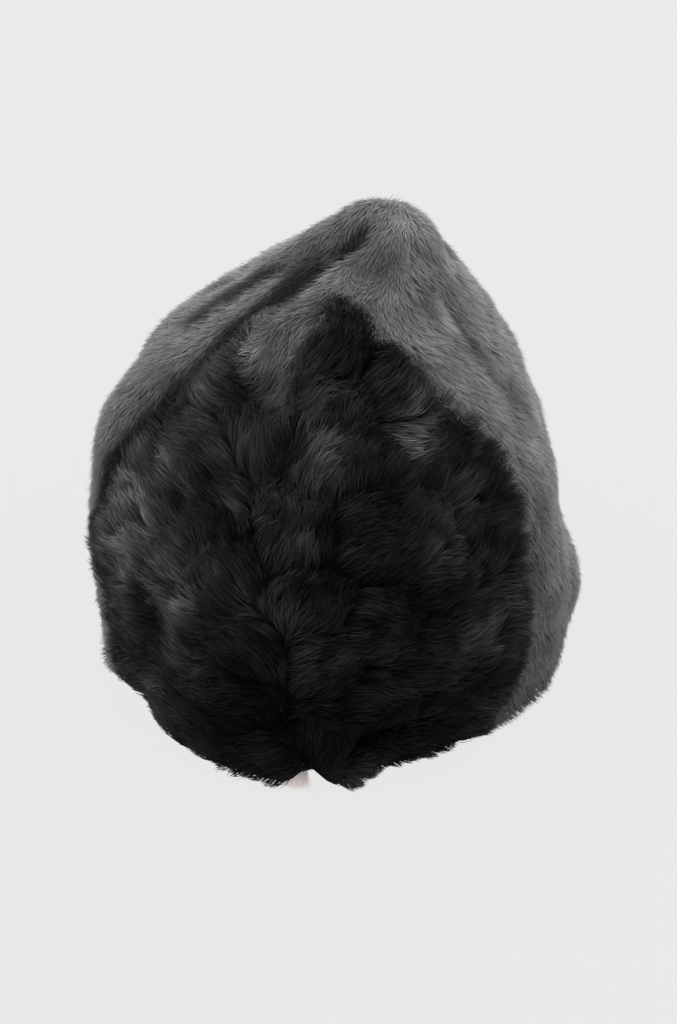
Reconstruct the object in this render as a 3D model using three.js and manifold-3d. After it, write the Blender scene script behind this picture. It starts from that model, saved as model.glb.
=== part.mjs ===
// A tall fur hat with a peaked crown: two half panels of skin that meet at a seam down the front
// and the back, each with a thick pile of fur that ends in overlapping locks.
// Millimetres, +Z up, the front seam towards -Y, the rim resting on Z = 0.
import * as THREE from "three";
import { mergeVertices } from "three/addons/utils/BufferGeometryUtils.js";
import Module from "manifold-3d";

const wasm = await Module();
wasm.setup();

// Driving dimensions
const HEAD_LENGTH = 202; // opening inside the rim, front to back
const HEAD_WIDTH = 184; // opening inside the rim, side to side
const CROWN = 206; // rim to the peak of the skin
const LEAN = 23; // how far the peak stands to the right of the rim's middle
const SET_BACK = 50; // how far it stands behind the rim's middle
const HIDE = 2.5; // thickness of the skin
const PILE = 14; // depth of the fur below its locks
const SEAM_GAP = 0.4; // between the two halves
const SKIN_GAP = 0.3; // between the skin and what lies on it
const FUR_FOOT = 1; // the fur ends this far above the rim
const SLIVER = 0.1; // facets of the fur thinner than this are closed up

// Facets of each half
const TURN_STEPS = 22;
const RISE_STEPS = 14;

// The skin's outside, from the rim to the peak. rise is a share of the crown's height, left,
// right, front and back are shares of the rim's half width or half length, measured from an axis
// that leans from the rim's middle to the peak, and cheek is the share by which the two front
// corners fall inside an ellipse.
const SECTIONS = [
  { rise: 0.0, left: 1.06, right: 1.02, front: 0.98, back: 1.0, cheek: 0.07 },
  { rise: 0.16, left: 1.16, right: 1.02, front: 1.0, back: 1.03, cheek: 0.08 },
  { rise: 0.33, left: 1.22, right: 0.95, front: 1.0, back: 1.02, cheek: 0.07 },
  { rise: 0.5, left: 1.21, right: 0.81, front: 0.96, back: 0.96, cheek: 0.05 },
  { rise: 0.66, left: 1.1, right: 0.65, front: 0.85, back: 0.86, cheek: 0.02 },
  { rise: 0.8, left: 0.83, right: 0.43, front: 0.66, back: 0.68, cheek: 0.0 },
  { rise: 0.91, left: 0.44, right: 0.2, front: 0.39, back: 0.41, cheek: 0.0 },
  { rise: 0.98, left: 0.15, right: 0.1, front: 0.14, back: 0.15, cheek: 0.0 },
  { rise: 1.0, left: 0.0, right: 0.0, front: 0.0, back: 0.0, cheek: 0.0 },
];

// Folds and dents of the soft crown. Each is a line over the skin through its rows: turn is in
// degrees from the front seam, positive to the right, rise is a share of the crown's height,
// push is how far the skin stands out there, and width is how far the fold reaches to each side.
const FOLDS = {
  right_shoulder: [
    { turn: 10, rise: 0.87, push: 5, width: 13 },
    { turn: 45, rise: 0.73, push: 7, width: 15 },
    { turn: 68, rise: 0.54, push: 8, width: 17 },
    { turn: 76, rise: 0.28, push: 4, width: 20 },
  ],
  left_shoulder: [
    { turn: -20, rise: 0.88, push: 4, width: 13 },
    { turn: -52, rise: 0.77, push: 7, width: 15 },
    { turn: -76, rise: 0.6, push: 6, width: 17 },
  ],
  right_brow: [
    { turn: 6, rise: 0.8, push: -8, width: 13 },
    { turn: 26, rise: 0.7, push: -9, width: 14 },
    { turn: 44, rise: 0.56, push: -5, width: 15 },
  ],
  left_brow: [
    { turn: -30, rise: 0.8, push: -4, width: 13 },
    { turn: -46, rise: 0.68, push: -7, width: 14 },
    { turn: -68, rise: 0.5, push: -5, width: 15 },
  ],
  left_dent: [
    { turn: -92, rise: 0.84, push: -5, width: 14 },
    { turn: -120, rise: 0.78, push: -3, width: 18 },
  ],
  right_cheek: [
    { turn: 28, rise: 0.0, push: -6, width: 26 },
    { turn: 58, rise: 0.0, push: -3, width: 26 },
  ],
  left_cheek: [
    { turn: -26, rise: 0.0, push: -2, width: 28 },
    { turn: -52, rise: 0.0, push: -3, width: 30 },
  ],
  right_flare: [
    { turn: 94, rise: 0.1, push: 8, width: 24 },
    { turn: 112, rise: 0.11, push: 9, width: 26 },
  ],
  front_seam: [
    { turn: 0, rise: 0.04, push: -4, width: 11 },
    { turn: 0, rise: 0.7, push: -4, width: 11 },
  ],
  back_seam: [
    { turn: 180, rise: 0.04, push: -2, width: 12 },
    { turn: 180, rise: 0.8, push: -2, width: 12 },
  ],
};

// Which way the fur lies, in degrees from straight down the slope: next to the front seam and
// over the sides and back. Both turn away from the front seam.
const COMB = [
  { rise: 0.0, seam: 40, side: 10 },
  { rise: 0.3, seam: 88, side: 22 },
  { rise: 0.55, seam: 96, side: 26 },
  { rise: 0.78, seam: 45, side: 14 },
  { rise: 1.0, seam: 0, side: 0 },
];
const COMB_SPREAD = 62; // degrees of turn over which the seam's comb fades to the sides'

// Locks of fur, in courses from the rim to the peak. A lock stands above the pile along its ridge
// and its tip, and sinks into it along its edges and its underside. scatter is how much each
// differs from the next, as shares of its size and its place, and sway is in radians.
const LOCK = { length: 48, width: 30, stand: 5, tip: 1.5, edge: 3.5, sink: 7 };
const LOCK_STOPS = [
  { along: 0, wide: 0.55, high: -0.3 },
  { along: 0.34, wide: 1, high: 0.75 },
  { along: 0.7, wide: 0.72, high: 1 },
];
const LOCK_SCATTER = { length: 0.15, width: 0.2, place: 0.22, stagger: 0.2, sway: 0.3 };
const LOCK_MARGIN = 0.65; // widths that a lock keeps clear of a seam that it lies along
const RIM_SHARE = 0.9; // of the way to the rim that the lowest locks reach
const SEAM_ROOT = 0.02; // radians of turn from the front seam to the first root of a course
const COURSES = [
  { rise: 0.06, locks: 11, length: 0.62 },
  { rise: 0.19, locks: 10, length: 0.95 },
  { rise: 0.33, locks: 10, length: 1.0 },
  { rise: 0.47, locks: 10, length: 1.0 },
  { rise: 0.6, locks: 9, length: 1.0 },
  { rise: 0.72, locks: 7, length: 1.0 },
  { rise: 0.83, locks: 5, length: 0.95 },
  { rise: 0.92, locks: 4, length: 0.8 },
  { rise: 0.975, locks: 2, length: 0.7 },
];

// The notch in the fur at the foot of the front seam, and the pale wisp that hangs in it, through
// stops at distances out from the skin
const NOTCH = { width: 15, top: 3.6, height: 13 };
const WISP = [
  { out: 0.5, wide: 4, high: 7 },
  { out: 7, wide: 9, high: 7.5 },
  { out: 10, wide: 6, high: 5.5 },
  { out: 13, wide: 0, high: 2.5 },
];
const WISP_SHIFT = -1; // to the left of the seam
const WISP_FOOT = 0.7; // above the rim
const WISP_EDGE = 0.15; // where it is widest, as a share of its height

const rimHalfWidth = HEAD_WIDTH / 2 + HIDE;
const rimHalfLength = HEAD_LENGTH / 2 + HIDE;
const lastStation = SECTIONS.length - 1;

// A smooth reading of a table's columns, at any place between its rows
function columnsOf(rows, places) {
  const names = Object.keys(rows[0]);
  const values = rows.flatMap((row) => names.map((name) => row[name]));
  const curve = new THREE.CubicInterpolant(places, values, names.length);
  return (place) => {
    const found = curve.evaluate(place);
    return Object.fromEntries(names.map((name, i) => [name, found[i]]));
  };
}

const sectionAt = columnsOf(SECTIONS, SECTIONS.map((_, i) => i));
const combAt = columnsOf(COMB, COMB.map((row) => row.rise));

// The station, a place between the rows of SECTIONS, at a share of the crown's height
function stationAt(rise) {
  let low = 0;
  let high = lastStation;
  for (let halving = 0; halving < 30; halving++) {
    const middle = (low + high) / 2;
    if (sectionAt(middle).rise < rise) low = middle;
    else high = middle;
  }
  return low;
}

// A point of the skin's outside before it is folded. turn is in radians.
function smoothPoint(turn, station) {
  const { rise, left, right, front, back, cheek } = sectionAt(station);
  const across = Math.sin(turn);
  const ahead = Math.cos(turn);
  const full = ahead > 0 ? 1 - cheek * Math.sin(2 * turn) ** 2 : 1;
  return new THREE.Vector3(
    LEAN * rise + across * full * (across > 0 ? right : left) * rimHalfWidth,
    SET_BACK * rise - ahead * full * (ahead > 0 ? front : back) * rimHalfLength,
    CROWN * rise,
  );
}

// The two directions along a surface at a point, around to the right and down the slope, and the
// direction out of it. Just under the peak stands for the peak.
function directionsOf(surface, turn, station) {
  const small = 0.02;
  const place = Math.min(station, lastStation - 2 * small);
  const around = surface(turn + small, place).sub(surface(turn - small, place));
  const down = surface(turn, Math.max(place - small, 0)).sub(surface(turn, place + small));
  const perTurn = around.length() / (2 * small);
  const perStation = down.length() / (place < small ? small + place : 2 * small);
  const out = new THREE.Vector3().crossVectors(down, around).normalize();
  return { around: around.normalize(), down: down.normalize(), out, perTurn, perStation };
}

// Each fold as a chain of points along its rows
const SAMPLES_PER_ROW = 8;
const foldChains = Object.values(FOLDS).map((rows) => {
  const rowAt = columnsOf(rows, rows.map((_, i) => i));
  const count = (rows.length - 1) * SAMPLES_PER_ROW;
  return Array.from({ length: count + 1 }, (_, i) => {
    const { turn, rise, push, width } = rowAt(i / SAMPLES_PER_ROW);
    const point = smoothPoint(THREE.MathUtils.degToRad(turn), stationAt(rise));
    return { point, push, width };
  });
});

// How far the folds push a point of the smooth skin outwards
function foldPush(point) {
  return foldChains.reduce((sum, chain) => {
    const nearest = chain.reduce((best, knot) =>
      knot.point.distanceTo(point) < best.point.distanceTo(point) ? knot : best,
    );
    const away = nearest.point.distanceTo(point) / nearest.width;
    return sum + nearest.push * Math.exp(-away * away);
  }, 0);
}

// A point of the folded crown, a depth outside the skin's outer face
function crownPoint(turn, station, depth) {
  const point = smoothPoint(turn, station);
  const { out } = directionsOf(smoothPoint, turn, station);
  const folded = point.clone().addScaledVector(out, foldPush(point) + depth);
  folded.z = station === 0 ? 0 : Math.max(folded.z, 0);
  return folded;
}

const skinTop = (turn, station) => crownPoint(turn, station, 0);
const furBack = (turn, station) => crownPoint(turn, station, SKIN_GAP);
const pileTop = (turn, station) => crownPoint(turn, station, PILE);

// A closed wall between two skins of one half, from its first turn to its last and from the rim
// to the peak
function halfWall(outside, inside, turns) {
  const stations = Array.from({ length: RISE_STEPS }, (_, j) => (j / RISE_STEPS) * lastStation);
  const columns = turns.length;
  const skinSize = columns * RISE_STEPS + 1;
  const positions = [];
  for (const skin of [outside, inside]) {
    for (const station of stations) {
      for (const turn of turns) positions.push(...skin(turn, station).toArray());
    }
    positions.push(...skin(turns[0], lastStation).toArray());
  }
  const outer = (i, j) => (j === RISE_STEPS ? skinSize - 1 : j * columns + i);
  const inner = (i, j) => skinSize + outer(i, j);
  const index = [];
  const face = (a, b, c, d) => {
    if (a !== b && b !== c && c !== a) index.push(a, b, c);
    if (a !== c && c !== d && d !== a) index.push(a, c, d);
  };
  for (let j = 0; j < RISE_STEPS; j++) {
    for (let i = 0; i < columns - 1; i++) {
      face(outer(i, j), outer(i + 1, j), outer(i + 1, j + 1), outer(i, j + 1));
      face(inner(i, j + 1), inner(i + 1, j + 1), inner(i + 1, j), inner(i, j));
    }
    const last = columns - 1;
    face(outer(0, j), outer(0, j + 1), inner(0, j + 1), inner(0, j));
    face(outer(last, j + 1), outer(last, j), inner(last, j), inner(last, j + 1));
  }
  for (let i = 0; i < columns - 1; i++) {
    face(outer(i + 1, 0), outer(i, 0), inner(i, 0), inner(i + 1, 0));
  }
  return meshGeometry(positions, index);
}

function meshGeometry(positions, index) {
  const geometry = new THREE.BufferGeometry();
  geometry.setAttribute("position", new THREE.Float32BufferAttribute(positions, 3));
  geometry.setIndex(index);
  return geometry;
}

// A closed geometry as a solid that can be joined and cut, and back
function solidOf(geometry) {
  const bare = geometry.clone();
  bare.deleteAttribute("normal");
  bare.deleteAttribute("uv");
  const merged = mergeVertices(bare);
  const vertProperties = merged.getAttribute("position").array;
  const triVerts = new Uint32Array(merged.index.array);
  return new wasm.Manifold(new wasm.Mesh({ numProp: 3, vertProperties, triVerts }));
}

function geometryOf(solid) {
  const { vertProperties, triVerts } = solid.getMesh();
  const geometry = meshGeometry(vertProperties, Array.from(triVerts));
  geometry.computeVertexNormals();
  return geometry;
}

// A joined solid without the slivers of its joins and the pockets that they seal off inside it
function wholeBody(solid) {
  const bodies = solid.simplify(SLIVER).decompose();
  return bodies.reduce((most, body) => (body.volume() > most.volume() ? body : most));
}

// A repeatable scatter between -1 and 1
function scatter(seed) {
  const wave = Math.sin(seed * 12.9898 + 4.1414) * 43758.5453;
  return 2 * (wave - Math.floor(wave)) - 1;
}

// Which way the fur lies at a place, in radians from straight down, positive towards +turn
function combTurn(turn, rise) {
  const { seam, side } = combAt(rise);
  const away = THREE.MathUtils.radToDeg(Math.abs(turn)) / COMB_SPREAD;
  const lie = side * Math.sin(Math.abs(turn)) + seam * Math.exp(-away * away);
  return Math.sign(turn) * THREE.MathUtils.degToRad(lie);
}

// A closed tongue through rings of four corners, left, top, right and bottom, that ends in an
// upright edge from tipTop to tipBottom
function tongueGeometry(rings, tipTop, tipBottom) {
  const corners = 4;
  const points = [...rings.flat(), tipTop, tipBottom];
  const index = [0, 1, 2, 0, 2, 3];
  for (let ring = 0; ring < rings.length - 1; ring++) {
    for (let c = 0; c < corners; c++) {
      const here = ring * corners + c;
      const beside = ring * corners + ((c + 1) % corners);
      index.push(here, here + corners, beside + corners, here, beside + corners, beside);
    }
  }
  const left = corners * (rings.length - 1);
  const [top, right, bottom, above, below] = [1, 2, 3, 4, 5].map((step) => left + step);
  index.push(left, above, top, top, above, right, right, below, bottom);
  index.push(bottom, below, left, left, below, above, right, above, below);
  return meshGeometry(points.flatMap((point) => point.toArray()), index);
}

// The length of a lock from a place to just above the rim
function lengthToRim(place, lie) {
  const { perStation } = directionsOf(pileTop, place.turn, place.station);
  const fall = Math.cos(lie);
  return fall > 0 ? (RIM_SHARE * place.station * perStation) / fall : Infinity;
}

// One lock: a flattened, pointed tongue that starts in the pile and lies along the comb
function lockGeometry(turn, rise, length, width, sway) {
  let place = { turn, station: stationAt(rise) };
  let walked = 0;
  const reach = Math.min(length, lengthToRim(place, combTurn(turn, rise)));
  const walkTo = (along) => {
    const step = (along - walked) * reach;
    const { perTurn, perStation } = directionsOf(pileTop, place.turn, place.station);
    const lie = combTurn(turn, rise) + sway * along;
    place = {
      turn: place.turn + (step * Math.sin(lie)) / perTurn,
      station: Math.max(place.station - (step * Math.cos(lie)) / perStation, 0),
    };
    walked = along;
    return lie;
  };
  const rings = LOCK_STOPS.map(({ along, wide, high }) => {
    const lie = walkTo(along);
    const { around, down, out } = directionsOf(pileTop, place.turn, place.station);
    const side = around.multiplyScalar(Math.cos(lie)).addScaledVector(down, -Math.sin(lie));
    const middle = pileTop(place.turn, place.station);
    const corner = (across, up) => {
      const point = middle.clone().addScaledVector(side, (across * wide * width) / 2);
      return point.addScaledVector(out, up);
    };
    return [
      corner(-1, -LOCK.edge),
      corner(0, LOCK.stand * high),
      corner(1, -LOCK.edge),
      corner(0, -LOCK.sink),
    ];
  });
  walkTo(1);
  const { out } = directionsOf(pileTop, place.turn, place.station);
  const tip = pileTop(place.turn, place.station);
  const [tipTop, tipBottom] = [LOCK.tip, -LOCK.sink].map((up) =>
    tip.clone().addScaledVector(out, up),
  );
  return tongueGeometry(rings, tipTop, tipBottom);
}

// All the locks of one half. side is 1 on the right and -1 on the left.
function locksOf(side) {
  return COURSES.flatMap(({ rise, locks, length }, course) =>
    Array.from({ length: locks }, (_, i) => {
      const seed = LOCK.length * course + LOCK.width * i + side;
      const differ = (name, i) => LOCK_SCATTER[name] * scatter(seed + i / 10);
      const { perTurn } = directionsOf(pileTop, (side * Math.PI) / 2, stationAt(rise));
      const width = LOCK.width * (1 + differ("width", 1));
      const backMargin = (LOCK_MARGIN * width) / perTurn;
      const frontMargin = SEAM_ROOT + backMargin * Math.cos(combTurn(side * SEAM_ROOT, rise));
      const stagger = course % 2 ? LOCK_SCATTER.stagger : -LOCK_SCATTER.stagger;
      const share = (i + 0.5 + stagger + differ("place", 2)) / locks;
      const turn = side * (frontMargin + share * (Math.PI - frontMargin - backMargin));
      const reach = LOCK.length * length * (1 + differ("length", 3));
      return lockGeometry(turn, rise, reach, width, differ("sway", 4));
    }),
  );
}

// What lies below the fur's foot
function underFoot() {
  const size = 2 * HEAD_LENGTH;
  return solidOf(new THREE.BoxGeometry(size, size, size).translate(0, 0, FUR_FOOT - size / 2));
}

// The wedge that opens the fur at the foot of the front seam
function notchSolid() {
  const outline = new THREE.Shape([
    new THREE.Vector2(-NOTCH.width / 2, -1),
    new THREE.Vector2(NOTCH.width / 2, -1),
    new THREE.Vector2(NOTCH.top / 2, NOTCH.height),
    new THREE.Vector2(-NOTCH.top / 2, NOTCH.height),
  ]);
  const depth = rimHalfLength;
  const wedge = new THREE.ExtrudeGeometry(outline, { depth, bevelEnabled: false });
  wedge.rotateX(Math.PI / 2);
  wedge.translate(0, -rimHalfLength / 2, 0);
  return solidOf(wedge);
}

function wispGeometry() {
  const skin = Math.min(...[0, WISP[0].high].map((z) => skinTop(0, stationAt(z / CROWN)).y));
  const rings = WISP.map(({ out, wide, high }) => {
    const corner = (across, up) =>
      new THREE.Vector3(WISP_SHIFT + (across * wide) / 2, skin - out, WISP_FOOT + up);
    const edge = WISP_EDGE * high;
    return [corner(-1, edge), corner(0, high), corner(1, edge), corner(0, 0)];
  });
  const [, tipTop, , tipBottom] = rings.pop();
  return tongueGeometry(rings, tipTop, tipBottom);
}

const hideMaterial = new THREE.MeshStandardMaterial({ color: 0xb8a898, roughness: 0.9 });
const furMaterial = new THREE.MeshStandardMaterial({ color: 0x0b0a0b, roughness: 0.6 });
const wispMaterial = new THREE.MeshStandardMaterial({ color: 0xc9b9b2, roughness: 0.8 });

const hat = new THREE.Group();

function addPiece(name, geometry, material, shift = 0) {
  const mesh = new THREE.Mesh(geometry, material);
  mesh.name = name;
  mesh.position.x = shift;
  hat.add(mesh);
}

for (const { name, side } of [
  { name: "left", side: -1 },
  { name: "right", side: 1 },
]) {
  const first = side > 0 ? 0 : -Math.PI;
  const turns = Array.from(
    { length: TURN_STEPS + 1 },
    (_, i) => first + (i / TURN_STEPS) * Math.PI,
  );
  const inside = (turn, station) => crownPoint(turn, station, -HIDE);
  const hide = halfWall(skinTop, inside, turns);
  addPiece(`${name}_panel_hide`, hide, hideMaterial, (side * SEAM_GAP) / 2);

  const pile = solidOf(halfWall(pileTop, furBack, turns));
  const behind = solidOf(halfWall(furBack, (turn, station) => crownPoint(turn, station, -PILE), turns));
  const fur = locksOf(side)
    .reduce((solid, lock) => solid.add(solidOf(lock)), pile)
    .subtract(behind)
    .subtract(underFoot())
    .subtract(notchSolid());
  addPiece(`${name}_panel_fur`, geometryOf(wholeBody(fur)), furMaterial, (side * SEAM_GAP) / 2);
}
addPiece("seam_wisp", wispGeometry(), wispMaterial);

// The part stands with the middle of its footprint on the origin.
const middle = new THREE.Box3().setFromObject(hat).getCenter(new THREE.Vector3());
hat.children.forEach((mesh) => mesh.position.sub(new THREE.Vector3(middle.x, middle.y, 0)));

export default hat;
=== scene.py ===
"""Dresses a tall, peaked hat of black fur: two panels of skin, sewn front and back, the pile outside."""

import math

import bmesh
import bpy
import numpy as np
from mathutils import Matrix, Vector, noise


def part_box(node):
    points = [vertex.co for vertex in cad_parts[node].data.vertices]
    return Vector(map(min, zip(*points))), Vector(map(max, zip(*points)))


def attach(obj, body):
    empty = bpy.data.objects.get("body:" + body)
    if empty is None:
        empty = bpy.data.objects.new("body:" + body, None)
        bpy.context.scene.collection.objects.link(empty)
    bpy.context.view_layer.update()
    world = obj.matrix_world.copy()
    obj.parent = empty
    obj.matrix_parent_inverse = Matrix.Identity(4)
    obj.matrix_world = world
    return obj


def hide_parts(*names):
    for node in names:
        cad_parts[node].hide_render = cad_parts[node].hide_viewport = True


bl_info = {
    "name": "Peaked Fur Hat",
    "version": (1, 0, 0),
    "blender": (4, 5, 0),
    "location": "View3D > Sidebar > Fur Hat",
    "description": "Builds the skin, underfur, fur, wisp and stage of a peaked fur hat",
    "category": "Object",
}

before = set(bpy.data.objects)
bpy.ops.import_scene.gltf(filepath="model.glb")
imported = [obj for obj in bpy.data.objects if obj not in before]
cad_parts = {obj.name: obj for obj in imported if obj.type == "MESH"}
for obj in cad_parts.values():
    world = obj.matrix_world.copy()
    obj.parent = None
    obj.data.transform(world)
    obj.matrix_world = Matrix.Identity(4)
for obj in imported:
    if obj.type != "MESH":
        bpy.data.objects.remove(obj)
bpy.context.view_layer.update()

MM = 0.001
SIDES = ("left", "right")
BANDS = ("front", "side", "back")
BODY = "root"
SKIN_POINTS = [v.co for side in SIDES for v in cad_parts[f"{side}_panel_hide"].data.vertices]
PEAK = max(SKIN_POINTS, key=lambda point: point.z).copy()

# The skin is read from the model: vertices nearer than these are one, along the seams and elsewhere, and an
# outer face looks away from the line from the middle of the rim to the peak, seen from this far down it.
WELD = 0.02 * MM
SEAM_WELD = 0.9 * MM
LOOK_BACK = 30 * MM
FACES_OUT = 0.25
JOIN_ANGLE = math.radians(60)
CREASE_ANGLE = math.radians(50)
SMOOTH_LEVELS = 2
EVEN_ROUNDS = 40

# The front of the hat is a lobe with longer hair, inside these edges, and the hair parts on a line down it.
# Each is in degrees round the hat from the front seam, positive to the right, at shares of the height.
LOBE = (
    # rise, left edge, parting, right edge
    (0.00, -62, 0, 46),
    (0.10, -60, -1, 54),
    (0.20, -63, -4, 57),
    (0.32, -73, -8, 56),
    (0.45, -68, -11, 53),
    (0.58, -65, -14, 50),
    (0.67, -60, -16, 46),
    (0.73, -55, -18, 40),
    (0.78, -52, -20, 33),
    (0.84, -51, -22, 23),
    (0.90, -51, -23, 13),
    (0.93, -49, -23, 5),
    (0.95, -52, -23, -3),
    (0.966, -54, -24, -12),
    (0.98, -57, -25, -26),
    (1.00, -60, -25, -34),
)
# How soft the lobe's edge and the parting are, and how far the parting wanders, in degrees.
LOBE_SOFT = 4
PARTING_SOFT = 14
PARTING_WANDER = 13
# The coat of the crown runs down into the lobe in a tongue, soft on its left and sharper on its right.
TONGUE = (
    # rise, left edge, right edge
    (0.71, -14, -24),
    (0.78, -23, -21.5),
    (0.82, -30, -22),
    (0.873, -37, -25),
    (0.918, -44, -24),
    (0.95, -53, -24.5),
    (0.97, -62, -26),
    (1.00, -75, -27),
)
TONGUE_SOFT = (16, 4)
# Soft creases in the fur, each along a line of places: down the left edge of the lobe, by the tip, under
# the right shoulder, on the outer left and down the tongue. In a crease the hair is painted darker, a
# painted
# shade: the dark grows between two shares of nearness to the line. The line down the tongue has no depth
# and only darkens the hair.
CREASES = (
    # width and depth in millimetres, painted shade, turns and rises along the line
    (
        9.5,
        5,
        -0.97,
        (
            (-64, 0.975),
            (-56, 0.935),
            (-55, 0.88),
            (-54, 0.793),
            (-57, 0.731),
            (-61, 0.661),
            (-67, 0.534),
            (-70, 0.40),
        ),
    ),
    (6.5, 3, -0.75, ((-62, 1.045), (-67, 1.012), (-64, 0.975))),
    (6, 2.5, -0.35, ((54, 0.90), (63, 0.78), (75, 0.66))),
    (6, 3, -0.7, ((-82, 0.95), (-82, 0.89), (-77, 0.85))),
    (10, 0, -0.25, ((-42, 0.94), (-30, 0.86), (-25, 0.79))),
)
CREASE_EDGE = (0.15, 0.70)
# A middling radius of the hat, the least depth of the underfur, and how far that stays from the skin.
ROUND_RADIUS = 100 * MM
LEAST_DEPTH = 3 * MM
SKIN_CLEAR = 0.5 * MM
# Which way the hair lies, in degrees turned from straight down the slope: on the lobe beside the parting
# and at its edges, away from the parting, and on the crown, away from the front.
LIE = (
    # rise, parting, edge, crown
    (0.00, 45, 35, 8),
    (0.02, 62, 50, 8),
    (0.045, 90, 66, 8),
    (0.07, 98, 76, 8),
    (0.12, 102, 88, 10),
    (0.25, 110, 96, 10),
    (0.40, 124, 106, 12),
    (0.52, 132, 112, 12),
    (0.66, 132, 118, 10),
    (0.74, 142, 120, 9),
    (0.80, 148, 122, 8),
    (0.87, 120, 124, 6),
    (0.95, 110, 126, 3),
    (1.00, 110, 130, 0),
)
LIE_SPREAD = 42
# On level fur at the tip, up to this slope, the hair lies to the front and left.
TIP_WAY = (-0.55, -0.83, 0.0)
TIP_SLOPE = 0.5
# How long the hair is and how far it stands off, as shares of the settings.
COAT = (
    # rise, length on the lobe, stand on the lobe, length on the crown, stand on the crown
    (0.00, 0.50, 0.45, 0.50, 0.40),
    (0.05, 0.75, 0.80, 0.60, 0.45),
    (0.12, 1.00, 1.00, 0.66, 0.45),
    (0.60, 1.00, 1.10, 0.70, 0.45),
    (0.88, 0.95, 1.00, 0.70, 0.40),
    (0.92, 0.75, 0.80, 0.68, 0.34),
    (0.95, 0.55, 0.55, 0.66, 0.30),
    (1.04, 0.50, 0.40, 0.60, 0.22),
)
# Waves in the lie of the hair: a wave's size, and how far it turns the hair on the lobe and on the crown.
WAVES = (
    # size in metres, lobe, crown
    (52 * MM, 0.45, 0.12),
    (24 * MM, 0.80, 0.16),
    (11 * MM, 0.65, 0.16),
)
# Soft lumps in the fur: a lump's size, and its height on the lobe and on the crown as shares of the relief.
LUMPS = (
    # size in metres, lobe, crown
    (36 * MM, 1.0, 1.0),
    (17 * MM, 0.9, 0.6),
    (9 * MM, 0.3, 0.5),
)
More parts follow.
